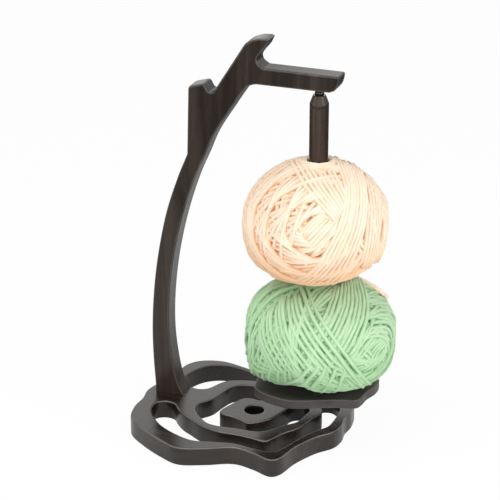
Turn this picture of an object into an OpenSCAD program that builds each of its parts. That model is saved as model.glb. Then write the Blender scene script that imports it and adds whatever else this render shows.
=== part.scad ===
// Pendulum yarn holder: a rose-shaped base board, a branch-shaped arm that stands on it,
// and a spindle with a petal tray that hangs from a magnet under the arm's bar.
// Millimetres. The origin is on the table, under the socket in the heart of the rose.
// +X runs along the bar from the foot to the spindle, +Z is up.

/* [Base board] */
// Thickness of the base board
base_t = 13; // [10:0.5:18]
// Wood left under the socket in the heart of the rose
socket_floor = 4; // [1.5:0.5:6]
// Radial play of the spindle's shaft in that socket
socket_play = 0.5; // [0.2:0.1:0.7]

/* [Pads] */
// Diameter of a felt pad
pad_d = 8; // [6:0.5:9]
// Thickness of a felt pad
pad_t = 1; // [0.5:0.1:3]

/* [Arm] */
// Thickness of the arm's board
arm_t = 13.5; // [12:0.5:18]
// Middle of the foot, along the bar
foot_x = -63.5; // [-65:0.5:-63]
// Middle of the arm's board, across the bar
arm_y = 9; // [8:0.5:10]
// From the middle of the foot to the spindle's axis
reach = 104.5; // [98:0.5:112]
// Height of the bar's underside over the base board
bar_z = 234; // [215:1:260]
// Depth of the bar
bar_h = 11.2; // [8:0.1:13]
// Length of the bar past the spindle's axis
bar_over = 15; // [12:0.5:22]
// Height of the hook's tip over the bar
hook_h = 19.5; // [17:0.5:25]
// Radius of the notch between the stub and the branch
notch_r = 2.7; // [2.3:0.1:3]

/* [Foot joint] */
// Diameter of a locating dowel
dowel_d = 4; // [3:0.5:4.5]
// Depth of a dowel in the base board
dowel_down = 7; // [4:0.5:8]
// Height of a dowel in the arm
dowel_up = 6; // [4:0.5:6.5]
// Distance between the two dowels
dowel_pitch = 10.5; // [9.5:0.5:11.5]
// Diameter of the foot screw's shank
foot_screw_d = 4; // [3:0.5:4.5]
// Height that the foot screw reaches into the arm
foot_screw_up = 18; // [12:0.5:20]

/* [Pivot] */
// Diameter of the magnet in the bar
magnet_d = 10; // [8:0.5:11]
// Thickness of the magnet
magnet_t = 4; // [2:0.5:5]
// Diameter of the pivot ball
ball_d = 6.2; // [6:0.1:7.2]
// Wall of the cup that holds the ball
cup_wall = 0.4; // [0.3:0.05:0.5]
// Height of the ball's centre over the cup's rim
cup_drop = 1; // [1:0.1:2.2]

/* [Spindle] */
// Diameter of the shaft
shaft_d = 12.5; // [10:0.5:13]
// Height of the cap
cap_h = 8; // [7.5:0.5:14]
// Height of the straight band at the foot of the cap
cap_band = 2.4; // [1:0.2:4]
// Diameter of the cap at its top
cap_top_d = 8.4; // [8.3:0.1:9]
// Diameter of the tenon on top of the shaft
tenon_d = 6; // [4:0.5:7]
// Length of the tenon
tenon_l = 3.5; // [3:0.5:4]

/* [Tray] */
// Thickness of the tray
tray_t = 6.5; // [6:0.5:10]
// Height of the tray over the base board
tray_gap = 20.5; // [12:0.5:25]
// Depth of the seat for the shaft
tray_seat = 2; // [1:0.5:3]
// Diameter of the tray screw's shank
tray_screw_d = 4; // [3:0.5:4.5]
// Height that the tray screw reaches into the shaft
tray_screw_up = 18; // [10:0.5:25]

/* [Yarn] */
// Width of the lower ball of yarn
lower_d = 99.5; // [80:0.5:104]
// Height of the lower ball of yarn
lower_h = 75; // [60:0.5:82]
// Width of the upper ball of yarn
upper_d = 98; // [80:0.5:106]
// Height of the upper ball of yarn
upper_h = 82.5; // [60:0.5:90]
// Distance of the lower ball's middle from the shaft's axis
lower_off = 3; // [0:0.5:4]

/* [Fits] */
// Radial clearance of a glued or screwed piece in its hole
glue_gap = 0.05; // [0.02:0.01:0.1]
// Radial clearance of pieces that turn in each other
run_gap = 0.05; // [0.02:0.01:0.08]
// Clearance between the ball and the magnet's face
ball_gap = 0.05; // [0.02:0.01:0.1]
// Clearance of soft pieces from their neighbours
soft_gap = 0.3; // [0.2:0.1:0.6]

/* [Hidden] */
$fn = 72;
// Points on each span of a curve
span_n = 8;
// Overlap of a cutting shape past the face that it cuts
cut = 1;

base_top = pad_t + base_t;
bar_bottom = base_top + bar_z;
bar_top = bar_bottom + bar_h;
spindle_x = foot_x + reach;
socket_d = shaft_d + 2 * socket_play;
socket_depth = base_t - socket_floor;

// The foot's joint is a little off its middle, under the trunk
joint_off = 1.5;
joint_x = foot_x - joint_off;
dowel_l = dowel_down + dowel_up;
foot_screw_l = base_t + foot_screw_up;

ball_r = ball_d / 2;
ball_z = bar_bottom - ball_gap - ball_r;
cup_in_r = ball_r + run_gap;
cup_out_r = cup_in_r + cup_wall;
cap_seat_r = cup_out_r + run_gap;
cap_top = ball_z - cup_drop;
cap_bottom = cap_top - cap_h;

tray_bottom = base_top + tray_gap;
tray_top = tray_bottom + tray_t;
shaft_bottom = tray_top - tray_seat;
shaft_top = cap_bottom - run_gap;
tray_screw_l = tray_t - tray_seat + tray_screw_up;
yarn_bore_r = shaft_d / 2 + soft_gap;
lower_z = tray_top + soft_gap;
upper_z = lower_z + lower_h + soft_gap;
// Angle between the corners of a ball of yarn
yarn_step = 15;
// How square each ball is over and under its middle, and how much more so on its left; 2 is an ellipse
lower_square = [[2.1, 0.2], [3, 4]];
upper_square = [[2.2, -0.2], [2.4, 0.8]];
// Turn of the balls' right side from the bar's length
yarn_turn = 20;

// Countersunk heads are twice as wide as the shank
head_ratio = 2;
// Cross recess of a screw's head: width and depth as shares of the shank
cross_width = 0.28;
cross_depth = 0.45;
// Point of a wood screw, as a share of the shank
screw_point = 0.75;

// Edge of the rose-shaped board, round the heart, seen from above
rose_edge = [
  [-80.5, 1], [-79, -10], [-79.5, -24], [-75, -40], [-61.5, -52], [-44, -62.8], [-29, -68.5], [-12, -63],
  [5, -55.3], [20, -58], [33, -63], [39.5, -57.5], [43.7, -41], [52, -23.5], [61, -12], [63.5, -1],
  [62.5, 10], [63.5, 22], [60, 38], [48, 51], [30, 54], [10, 53], [-10, 53], [-27, 58.5],
  [-46, 62.8], [-61, 58.8], [-69, 50], [-71.5, 38], [-75, 22], [-79, 10]
];
// Gap between the outer and the middle petals, from the foot round the front to the right
front_gap = [
  [-67.5, -14], [-66.5, -24], [-60.5, -33.5], [-51, -43], [-38, -50.5], [-24, -54.8], [-10, -52.2],
  [4, -49.6], [16, -51.4], [27, -52.6], [33.5, -50], [38, -41], [41.5, -31], [45.5, -21], [51, -11.5],
  [55, -5], [56, 6], [55.5, 18], [52, 29], [45, 35.5], [38.5, 34], [39, 27], [42.5, 19],
  [44.8, 11.5], [41.5, 1], [37.5, -14], [30.5, -24.5], [26.5, -33], [22, -40], [12, -39], [1, -38],
  [-13, -38], [-26, -34], [-36, -27.8], [-43.5, -23], [-50, -16.5], [-55, -10.5], [-62, -9.5]
];
// Gap between the outer and the middle petals behind the heart
back_gap = [
  [-63.5, 30], [-60, 43], [-54, 51.5], [-45, 56.5], [-36, 56.6], [-26, 54.3], [-14, 49.5], [0, 46.5],
  [12, 46], [18, 43], [12, 40], [0, 41.5], [-16, 41], [-30, 36.5], [-36, 30.5], [-41, 20],
  [-46, 16.5], [-52, 16.8], [-60, 21]
];
// Gap between the middle petals and the heart
heart_gap = [
  [31, 18], [36, 12.5], [35.5, 6], [33.3, -6.3], [26.4, -14.2], [21, -21.8], [15.3, -27.5], [7.8, -29.2],
  [-3, -29.2], [-13, -30.2], [-22.5, -29], [-29, -24.3], [-35, -18.3], [-39.5, -10], [-38, -3], [-32.5, 5],
  [-29.4, 18], [-25.5, 28], [-16, 33], [-4, 33], [3, 28], [3, 19], [-1, 14.5], [-6, 15.3],
  [-11, 14.7], [-14.3, 11.3], [-18, 2.5], [-21.6, -9], [-18, -13.3], [-10.5, -14.7], [-3.5, -17.3],
  [3, -19.8], [9, -15.5], [14.5, -9.3], [17.5, -3], [20, 6], [22, 14], [26, 17.5]
];
// Edge of the tray, round the spindle's axis
tray_edge = [
  [-36, -20.5], [-33.5, -28], [-25, -33.3], [-14, -36.5], [-6, -37], [4, -33.7], [14, -29], [26, -24.5],
  [35.5, -21.8], [38, -16], [39, -7], [42, 3], [41, 14], [33, 24], [22, 32], [8, 36.5],
  [-6, 35], [-18, 33], [-29, 28], [-36, 19], [-36.5, 7], [-38, -7]
];
// Middles of the felt pads under the board
pad_spots = [[0, 0], [-73, -24], [33, -57], [46, 44], [-69, 26]];

// The arm's edges from the foot up: distance from the foot's middle, share of the bar's height
trunk_outer = [
  [-10.4, 0], [-12.1, 0.106], [-12.5, 0.213], [-10.8, 0.332], [-7.1, 0.451], [-0.6, 0.583],
  [7.9, 0.694], [15.1, 0.77]
];
trunk_inner = [
  [63.5, 1], [59.5, 0.9945], [55.4, 0.98], [44.7, 0.91], [34.1, 0.836], [27.6, 0.77], [21.1, 0.706],
  [13.9, 0.617], [7.6, 0.515], [2.8, 0.404], [0.2, 0.29], [0.1, 0.196], [2.3, 0.11], [5.6, 0.043], [10.2, 0]
];
// Stub and notch: distances from the foot's middle and from the bar's underside
stub_corner = [19, -8.5];
stub_corner_r = 2.6;
stub_shoulder = [26.4, -6.2];
stub_shoulder_r = 2.4;
notch_at = [32.2, -6.2];
// Slopes of the stub's top, of the notch's wall and of the branch's edge past the notch
stub_slope = 13;
notch_slope = 28;
branch_slope = 59;
// Hook: distance from the foot's middle and share of the hook's height over the bar
hook_back = [[55.5, 0.76], [59, 0.89], [64, 0.99], [69, 1.02], [72, 0.99]];
hook_front = [[71.8, 0.95], [69.7, 0.73], [66.2, 0.51], [64, 0.315], [65.2, 0.13], [68.8, 0.01]];
// End of the bar: share of the overhang past the axis and share of the bar's depth
bar_end = [[0.93, 1], [1, 0.9], [0.95, 0.5], [0.8, 0.16], [0.56, 0]];

// Point at share t between b and c on a smooth curve through a, b, c and d
function between(a, b, c, d, t) =
  (2 * b + (c - a) * t + (2 * a - 5 * b + 4 * c - d) * t * t + (3 * b - a - 3 * c + d) * t * t * t) / 2;

// Smooth closed curve through the points
function ring(p) = let (n = len(p)) [
  for (i = [0 : n - 1], k = [0 : span_n - 1])
    between(p[(i + n - 1) % n], p[i], p[(i + 1) % n], p[(i + 2) % n], k / span_n)
];

// Smooth open curve through the points
function run(p) = let (n = len(p)) [
  for (i = [0 : n - 2], k = [0 : i == n - 2 ? span_n : span_n - 1])
    between(i == 0 ? 2 * p[0] - p[1] : p[i - 1], p[i], p[i + 1],
            i == n - 2 ? 2 * p[n - 1] - p[n - 2] : p[i + 2], k / span_n)
];

// Arc round a centre, from one angle to another
function arc(centre, r, from, to) = [
  for (k = [0 : span_n]) let (a = from + (to - from) * k / span_n) centre + r * [cos(a), sin(a)]
];

function head_point(p) = [foot_x + p[0], bar_bottom + p[1]];
function trunk_run(p) = run([for (q = p) [foot_x + q[0], base_top + q[1] * bar_z]]);
function hook_run(p) = run([for (q = p) [foot_x + q[0], bar_top + q[1] * hook_h]]);

arm_edge = concat(
  trunk_run(trunk_outer),
  arc(head_point(stub_corner), stub_corner_r, 180, 90 + stub_slope),
  arc(head_point(stub_shoulder), stub_shoulder_r, 90 + stub_slope, notch_slope),
  arc(head_point(notch_at), notch_r, 180 + notch_slope, 270 + branch_slope),
  hook_run(hook_back),
  hook_run(hook_front),
  run([for (q = bar_end) [spindle_x + q[0] * bar_over, bar_bottom + q[1] * bar_h]]),
  trunk_run(trunk_inner)
);

// Corner of a ball of yarn at an angle round it from its right, and at an angle over its middle
function yarn_corner(d, h, square, a, e) =
  let (
    pair = e < 0 ? square[1] : square[0],
    p = pair[0] + pair[1] * pow(max(0, -cos(a)), 2),
    size = pow(pow(cos(e), p) + pow(abs(sin(e)), p), -1 / p)
  ) [d / 2 * cos(e) * size * cos(a), d / 2 * cos(e) * size * sin(a), h / 2 * (1 + sin(e) * size)];

module slab(edge, h) linear_extrude(height = h) polygon(edge);

// Wood screw with its head at z = 0 and its point up
module wood_screw(d, l) {
  head_h = d * (head_ratio - 1) / 2;
  difference() {
    union() {
      cylinder(d1 = d * head_ratio, d2 = d, h = head_h);
      translate([0, 0, head_h]) cylinder(d = d, h = l - head_h - d * screw_point);
      translate([0, 0, l - d * screw_point]) cylinder(d1 = d, d2 = d * cross_width, h = d * screw_point);
    }
    for (a = [0, 90])
      rotate(a)
        translate([-d / 2, -d * cross_width / 2, -cut])
          cube([d, d * cross_width, cut + d * cross_depth]);
  }
}

// Countersunk hole that takes a wood screw of the same sizes
module screw_hole(d, l) {
  head_h = d * (head_ratio - 1) / 2;
  wide = d * head_ratio + 2 * glue_gap;
  translate([0, 0, -cut]) cylinder(d = wide, h = cut);
  cylinder(d1 = wide, d2 = d + 2 * glue_gap, h = head_h);
  cylinder(d = d + 2 * glue_gap, h = l + glue_gap);
}

// Puts its child in the middle of the foot's joint, on the level z
module at_joint(z) translate([joint_x, arm_y, z]) children();

// Puts its child at each dowel of the foot's joint, on the level z
module at_dowels(z) {
  for (side = [-1, 1])
    at_joint(z) translate([side * dowel_pitch / 2, 0, 0]) children();
}

// Puts its child on the spindle's axis, on the level z
module at_spindle(z) translate([spindle_x, arm_y, z]) children();

module base_board() {
  color("#3b3632")
    difference() {
      translate([0, 0, pad_t]) slab(ring(rose_edge), base_t);
      for (gap = [front_gap, back_gap, heart_gap])
        translate([0, 0, pad_t - cut]) slab(ring(gap), base_t + 2 * cut);
      translate([0, 0, base_top - socket_depth]) cylinder(d = socket_d, h = socket_depth + cut);
      at_dowels(base_top - dowel_down - glue_gap)
        cylinder(d = dowel_d + 2 * glue_gap, h = dowel_down + glue_gap + cut);
      at_joint(pad_t) screw_hole(foot_screw_d, foot_screw_l);
    }
}

module felt_pads() {
  color("#26231f")
    for (p = pad_spots)
      translate([p[0], p[1], 0]) cylinder(d = pad_d, h = pad_t);
}

module arm() {
  color("#332d2a")
    difference() {
      translate([0, arm_y + arm_t / 2, 0]) rotate([90, 0, 0]) slab(arm_edge, arm_t);
      at_dowels(base_top - cut)
        cylinder(d = dowel_d + 2 * glue_gap, h = dowel_up + glue_gap + cut);
      at_joint(pad_t) screw_hole(foot_screw_d, foot_screw_l);
      at_spindle(bar_bottom - cut)
        cylinder(d = magnet_d + 2 * glue_gap, h = magnet_t + glue_gap + cut);
    }
}

module foot_dowels() {
  color("#b99868")
    at_dowels(base_top - dowel_down) cylinder(d = dowel_d, h = dowel_l);
}

module foot_screw() {
  color("#8b8b88")
    at_joint(pad_t) wood_screw(foot_screw_d, foot_screw_l);
}

module bar_magnet() {
  color("#a8a9ab")
    at_spindle(bar_bottom) cylinder(d = magnet_d, h = magnet_t);
}

module pivot_ball() {
  color("#6d6d6d")
    at_spindle(ball_z) sphere(r = ball_r);
}

module ball_cup() {
  color("#2b2b2b")
    at_spindle(ball_z)
      difference() {
        sphere(r = cup_out_r);
        sphere(r = cup_in_r);
        translate([0, 0, -cup_drop]) cylinder(r = cup_out_r + cut, h = 2 * cup_out_r);
      }
}

module spindle_cap() {
  color("#4a433c")
    difference() {
      union() {
        at_spindle(cap_bottom) cylinder(d = shaft_d, h = cap_band);
        at_spindle(cap_bottom + cap_band) cylinder(d1 = shaft_d, d2 = cap_top_d, h = cap_h - cap_band);
      }
      at_spindle(ball_z) sphere(r = cap_seat_r);
      at_spindle(cap_bottom - cut)
        cylinder(d = tenon_d + 2 * run_gap, h = tenon_l + run_gap + cut);
    }
}

module spindle_shaft() {
  color("#3d352f")
    difference() {
      union() {
        at_spindle(shaft_bottom) cylinder(d = shaft_d, h = shaft_top - shaft_bottom);
        at_spindle(shaft_top) cylinder(d = tenon_d, h = tenon_l);
      }
      at_spindle(tray_bottom) screw_hole(tray_screw_d, tray_screw_l);
    }
}

module tray() {
  color("#3b3632")
    difference() {
      at_spindle(tray_bottom) slab(ring(tray_edge), tray_t);
      at_spindle(shaft_bottom) cylinder(d = shaft_d + 2 * glue_gap, h = tray_seat + cut);
      at_spindle(tray_bottom) screw_hole(tray_screw_d, tray_screw_l);
    }
}

module tray_screw() {
  color("#8b8b88")
    at_spindle(tray_bottom) wood_screw(tray_screw_d, tray_screw_l);
}

// Ball of yarn round the shaft, with its middle a distance off the axis
module yarn_ball(d, h, square, off) {
  n = 360 / yarn_step;
  rings = 180 / yarn_step - 1;
  top = rings * n + 1;
  corners = [
    for (r = [1 : rings], k = [0 : n - 1]) yarn_corner(d, h, square, k * yarn_step, r * yarn_step - 90)
  ];
  faces = [
    for (k = [0 : n - 1]) let (next = (k + 1) % n) each [
      [0, 1 + k, 1 + next],
      [top - n + k, top, top - n + next],
      for (r = [0 : rings - 2]) let (low = 1 + r * n, high = low + n) each
        [[low + k, high + k, high + next], [low + k, high + next, low + next]]
    ]
  ];
  difference() {
    rotate(yarn_turn) translate([off, 0, 0]) polyhedron(concat([[0, 0, 0]], corners, [[0, 0, h]]), faces);
    translate([0, 0, -cut]) cylinder(r = yarn_bore_r, h = h + 2 * cut);
  }
}

module lower_yarn_ball() {
  color("#a9dba3")
    at_spindle(lower_z) yarn_ball(lower_d, lower_h, lower_square, lower_off);
}

module upper_yarn_ball() {
  color("#fadcbd")
    at_spindle(upper_z) yarn_ball(upper_d, upper_h, upper_square, 0);
}

base_board();
felt_pads();
arm();
foot_dowels();
foot_screw();
bar_magnet();
pivot_ball();
ball_cup();
spindle_cap();
spindle_shaft();
tray();
tray_screw();
lower_yarn_ball();
upper_yarn_ball();
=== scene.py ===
"""Looks of a pendulum yarn holder, made round its packed construction model.

The wooden boards are the model's own shapes with rounded edges, and the two balls of yarn are wound strand
by strand over a core. Fields of the classes are in millimetres and degrees, and meshes are in metres.
"""

import logging
import math
from collections.abc import Callable, Iterator
from dataclasses import dataclass, replace
from enum import Enum

import bmesh
import bpy
import numpy as np
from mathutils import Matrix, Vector, kdtree


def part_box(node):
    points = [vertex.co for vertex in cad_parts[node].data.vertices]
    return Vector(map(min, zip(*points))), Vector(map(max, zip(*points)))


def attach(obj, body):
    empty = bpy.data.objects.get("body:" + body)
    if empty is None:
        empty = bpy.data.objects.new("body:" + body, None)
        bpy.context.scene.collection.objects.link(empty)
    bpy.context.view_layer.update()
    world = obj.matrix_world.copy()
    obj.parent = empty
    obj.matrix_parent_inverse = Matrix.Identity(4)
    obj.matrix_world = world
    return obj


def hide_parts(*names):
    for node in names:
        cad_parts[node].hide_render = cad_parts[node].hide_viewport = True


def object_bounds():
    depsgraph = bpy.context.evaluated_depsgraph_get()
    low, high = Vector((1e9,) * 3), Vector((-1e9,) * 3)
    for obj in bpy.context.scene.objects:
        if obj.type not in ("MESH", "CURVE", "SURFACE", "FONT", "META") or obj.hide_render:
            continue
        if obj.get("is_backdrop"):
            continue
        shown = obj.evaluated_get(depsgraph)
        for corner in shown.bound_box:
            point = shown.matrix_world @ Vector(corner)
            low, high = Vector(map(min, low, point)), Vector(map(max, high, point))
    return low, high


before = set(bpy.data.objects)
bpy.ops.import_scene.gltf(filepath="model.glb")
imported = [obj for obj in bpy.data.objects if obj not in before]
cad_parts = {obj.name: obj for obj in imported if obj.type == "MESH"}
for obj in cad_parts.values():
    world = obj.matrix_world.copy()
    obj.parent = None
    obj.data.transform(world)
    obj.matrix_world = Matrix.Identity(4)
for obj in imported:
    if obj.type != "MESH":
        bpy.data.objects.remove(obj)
CAD_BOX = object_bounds()
LOG = logging.getLogger("yarn_holder")
MM = 0.001
Array = np.ndarray
Point = tuple[float, float]
Place = tuple[float, float, float]
Colour = tuple[float, float, float]
Shape = bmesh.types.BMesh
Vert = bmesh.types.BMVert
Edge = bmesh.types.BMEdge
Socket = bpy.types.NodeSocket
Inputs = dict[str | int, object]

# What the meshes store for their materials
# Strength of a painted highlight along rounded rims
RIM_HIGHLIGHT = "rim_painted_highlight"
YARN_MAP = "strand"
# Painted shade of the yarn, 0 deep between the strands and 1 on open crowns
YARN_PAINTED_SHADE = "lay"


# Shader nodes


class Graph:
    """Adds shader nodes to a tree and links their sockets."""

    def __init__(self, tree: bpy.types.NodeTree) -> None:
        """Wrap a node tree."""
        self.tree = tree

    def feed(self, node: bpy.types.Node, inputs: Inputs) -> None:
        """Fill a node's inputs.

        Args:
            node: Node to fill.
            inputs: Socket names or numbers, each with a value or with the output socket to link there.
        """
        for key, value in inputs.items():
            if isinstance(value, Socket):
                self.tree.links.new(value, node.inputs[key])
            else:
                node.inputs[key].default_value = value

    def add(self, kind: str, inputs: Inputs | None = None, **settings: object) -> bpy.types.Node:
        """Add a node.

        Args:
            kind: Blender's name of the node type, without its ShaderNode prefix.
            inputs: What to feed the node.
            settings: Properties of the node itself.

        Returns:
            The new node.
        """
        node = self.tree.nodes.new(f"ShaderNode{kind}")
        for key, value in settings.items():
            setattr(node, key, value)
        self.feed(node, inputs or {})
        return node

    def maths(self, operation: str, *values: object) -> Socket:
        """Add a Math node and return its output."""
        return self.add("Math", dict(enumerate(values)), operation=operation).outputs[0]

    def noise(self, vector: Socket, scale: Socket, **more: float) -> Socket:
        """Add a Noise Texture node and return its value."""
        return self.add("TexNoise", {"Vector": vector, "Scale": scale, **more}).outputs[0]

    def effect(self, effect: "Effect", inputs: Inputs) -> bpy.types.NodeOutputs:
        """Place a shared effect and return its outputs."""
        return self.add("Group", inputs, node_tree=effect.tree()).outputs

    def blend(self, factor: object, first: object, second: object) -> Socket:
        """Add a colour Mix node.

        Args:
            factor: Share of the second colour.
            first: First colour or socket.
            second: Second colour or socket.

        Returns:
            The mixed colour.
        """
        # The colour sockets go by number, because a Mix node's number sockets have the same names
        sockets = {0: factor, 6: opaque(first), 7: opaque(second)}
        return self.add("Mix", sockets, data_type="RGBA").outputs[2]

    def spread(
        self, value: Socket, low: float = 0.0, high: float = 1.0, start: float = 0.0, end: float = 1.0
    ) -> Socket:
        """Add a Map Range node.

        Args:
            value: Socket to map.
            low: Value that becomes start.
            high: Value that becomes end.
            start: Result at low.
            end: Result at high.

        Returns:
            The mapped value.
        """
        return self.add("MapRange", {0: value, 1: low, 2: high, 3: start, 4: end}).outputs[0]


def opaque(colour: object) -> object:
    """Give a plain colour its alpha, and leave a socket as it is."""
    return (*colour, 1.0) if isinstance(colour, tuple) else colour


def start_group(
    name: str, inputs: dict[str, float], outputs: tuple[str, ...]
) -> tuple[Graph, bpy.types.NodeOutputs, bpy.types.Node]:
    """Start a node group that works on a vector.

    Args:
        name: Name of the group.
        inputs: Name and default of each number that the group takes.
        outputs: Name of each number that it puts out.

    Returns:
        The group's graph, the sockets that come into it, and the node that takes what it puts out.
    """
    tree = bpy.data.node_groups.new(name, "ShaderNodeTree")
    tree.interface.new_socket("Vector", in_out="INPUT", socket_type="NodeSocketVector")
    for socket, default in inputs.items():
        made = tree.interface.new_socket(socket, in_out="INPUT", socket_type="NodeSocketFloat")
        made.default_value = default
    for socket in outputs:
        tree.interface.new_socket(socket, in_out="OUTPUT", socket_type="NodeSocketFloat")
    into = tree.nodes.new("NodeGroupInput")
    out = tree.nodes.new("NodeGroupOutput")
    return Graph(tree), into.outputs, out


class Effect(Enum):
    """Surface effects that several finishes share, each one node group."""

    GRAIN = "wood_grain"
    FIBRE = "fibre_fuzz"
    BRUSHING = "brushed_marks"

    def tree(self) -> bpy.types.NodeTree:
        """Return the effect's node group, which is built the first time."""
        if self.value not in bpy.data.node_groups:
            build = {Effect.GRAIN: grain_group, Effect.FIBRE: fibre_group, Effect.BRUSHING: brushing_group}
            build[self](self.value)
        return bpy.data.node_groups[self.value]


def grain_group(name: str) -> None:
    """Build the wood grain: broad streaks of tone and short dark pores.

    Args:
        name: Name of the group. Its vector is small along the grain and large across it.
    """
    streak_height = 0.35
    graph, into, out = start_group(name, {"Streaks": 120.0, "Pores": 900.0}, ("Tone", "Pore", "Height"))
    broad = graph.noise(into["Vector"], into["Streaks"], Detail=5.0, Roughness=0.6, Distortion=0.35)
    fine = graph.noise(into["Vector"], into["Pores"], Detail=2.0)
    tone = graph.spread(broad, low=0.3, high=0.7)
    pore = graph.spread(fine, low=0.6, high=0.72)
    height = graph.maths("SUBTRACT", graph.maths("MULTIPLY", tone, streak_height), pore)
    graph.feed(out, {"Tone": tone, "Pore": pore, "Height": height})


def fibre_group(name: str) -> None:
    """Build the fuzz of spun or felted fibres: a soft cloudiness and a fine height.

    Args:
        name: Name of the group.
    """
    graph, into, out = start_group(name, {"Clouds": 90.0, "Hairs": 2500.0}, ("Cloud", "Height"))
    cloud = graph.noise(into["Vector"], into["Clouds"], Detail=3.0)
    hair = graph.noise(into["Vector"], into["Hairs"], Detail=4.0, Roughness=0.7)
    graph.feed(out, {"Cloud": graph.spread(cloud, low=0.25, high=0.75), "Height": hair})


def brushing_group(name: str) -> None:
    """Build the mask of faint marks on ground or plated metal.

    Args:
        name: Name of the group.
    """
    graph, into, out = start_group(name, {"Marks": 1500.0}, ("Mark",))
    mark = graph.noise(into["Vector"], into["Marks"], Detail=6.0, Roughness=0.65)
    graph.feed(out, {"Mark": graph.spread(mark, low=0.35, high=0.65)})


# Finishes


def start_material(name: str) -> tuple[bpy.types.Material, Graph, bpy.types.Node]:
    """Start a material with only its Principled shader.

    Args:
        name: Name of the material.

    Returns:
        The material, its graph and its shader node.
    """
    made = bpy.data.materials.new(name)
    made.use_nodes = True
    return made, Graph(made.node_tree), made.node_tree.nodes["Principled BSDF"]


class Lengthwise(Enum):
    """Direction that a piece's grain runs in, as the scale of its pattern along X, Y and Z."""

    ALONG_X = (0.07, 1.0, 1.0)
    ALONG_Z = (1.0, 1.0, 0.07)


@dataclass(frozen=True)
class WoodFinish:
    """Wood with its grain, stained or bare, and a painted highlight that makes its rounded rims paler."""

    name: str
    grain: Lengthwise
    dark: Colour
    light: Colour
    smooth: float
    rough: float
    specular: float = 0.5
    # Strength and pale colour of the painted highlight along the rounded rims, which varies with the grain
    rim_highlight: float = 0.0
    highlight_colour: Colour = (0.3, 0.28, 0.26)
    pore_share: float = 0.6
    relief: float = 0.12
    relief_depth: float = 0.2

    def material(self) -> bpy.types.Material:
        """Make the finish's material.

        Returns:
            The material.
        """
        made, graph, shader = start_material(self.name)
        place = graph.add("TexCoord").outputs["Object"]
        turned = graph.add("Mapping", {"Vector": place, "Scale": self.grain.value}).outputs[0]
        grain = graph.effect(Effect.GRAIN, {"Vector": turned})
        stain = graph.blend(grain["Tone"], self.dark, self.light)
        pores = graph.blend(graph.maths("MULTIPLY", grain["Pore"], self.pore_share), stain, self.dark)
        # Painted highlight: on rounded rims the stain is mixed towards the pale colour
        rim = graph.add("Attribute", attribute_name=RIM_HIGHLIGHT).outputs["Fac"]
        uneven = graph.spread(grain["Tone"], start=self.rim_highlight / 2, end=self.rim_highlight)
        bump = graph.add("Bump", {"Height": grain["Height"], "Strength": self.relief,
                                  "Distance": self.relief_depth * MM})
        graph.feed(shader, {
            "Base Color": graph.blend(graph.maths("MULTIPLY", rim, uneven), pores, self.highlight_colour),
            "Roughness": graph.spread(grain["Tone"], start=self.smooth, end=self.rough),
            "Specular IOR Level": self.specular,
            "Normal": bump.outputs[0],
        })
        return made


@dataclass(frozen=True)
class YarnFinish:
    """Soft plied yarn: pale on its crowns, with a painted shade of a deeper colour between the strands and
    under the ball.
    """

    name: str
    crown: Colour
    # Deeper colour of the painted shade between the strands and under the ball
    deep: Colour
    plies: int = 4
    cloud_share: float = 0.22
    groove_height: float = 0.5
    relief: float = 0.35
    relief_depth: float = 0.15

    def material(self) -> bpy.types.Material:
        """Make the finish's material, which reads the strands' own map and their painted shade, stored as
        their lay.

        Returns:
            The material.
        """
        made, graph, shader = start_material(self.name)
        along = graph.add("UVMap", uv_map=YARN_MAP).outputs[0]
        fuzz = graph.effect(Effect.FIBRE, {"Vector": along, "Clouds": 0.06, "Hairs": 9.0})
        # Painted shade: the stored lay mixes the crown colour towards the deeper colour
        lay = graph.add("Attribute", attribute_name=YARN_PAINTED_SHADE).outputs["Fac"]
        around = graph.add("SeparateXYZ", {0: along}).outputs[1]
        groove = graph.maths("COSINE", graph.maths("MULTIPLY", around, math.tau * self.plies))
        height = graph.maths("ADD", graph.maths("MULTIPLY", groove, self.groove_height), fuzz["Height"])
        bump = graph.add("Bump", {"Height": height, "Strength": self.relief,
                                  "Distance": self.relief_depth * MM})
        clouds = graph.spread(fuzz["Cloud"], end=self.cloud_share)
        graph.feed(shader, {
            "Base Color": graph.blend(clouds, graph.blend(lay, self.deep, self.crown), self.deep),
            "Roughness": 0.9,
            "Specular IOR Level": 0.2,
            "Sheen Weight": 0.25,
            "Sheen Roughness": 0.45,
            "Normal": bump.outputs[0],
        })
        return made


@dataclass(frozen=True)
class FeltFinish:
    """Pressed felt."""

    name: str
    colour: Colour
    pale: Colour
    relief: float = 0.6
    relief_depth: float = 0.3

    def material(self) -> bpy.types.Material:
        """Make the finish's material.

        Returns:
            The material.
        """
        made, graph, shader = start_material(self.name)
        place = graph.add("TexCoord").outputs["Object"]
        fuzz = graph.effect(Effect.FIBRE, {"Vector": place, "Clouds": 700.0, "Hairs": 5000.0})
        bump = graph.add("Bump", {"Height": fuzz["Height"], "Strength": self.relief,
                                  "Distance": self.relief_depth * MM})
        graph.feed(shader, {
            "Base Color": graph.blend(fuzz["Cloud"], self.colour, self.pale),
            "Roughness": 0.95,
            "Normal": bump.outputs[0],
        })
        return made


@dataclass(frozen=True)
class MetalFinish:
    """Bare or plated metal with faint marks."""

    name: str
    colour: Colour
    dull: Colour
    smooth: float
    rough: float

    def material(self) -> bpy.types.Material:
        """Make the finish's material.

        Returns:
            The material.
        """
        made, graph, shader = start_material(self.name)
        place = graph.add("TexCoord").outputs["Object"]
        marks = graph.effect(Effect.BRUSHING, {"Vector": place})
        graph.feed(shader, {
            "Base Color": graph.blend(marks["Mark"], self.colour, self.dull),
            "Roughness": graph.spread(marks["Mark"], start=self.smooth, end=self.rough),
            "Metallic": 1.0,
        })
        return made


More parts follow.
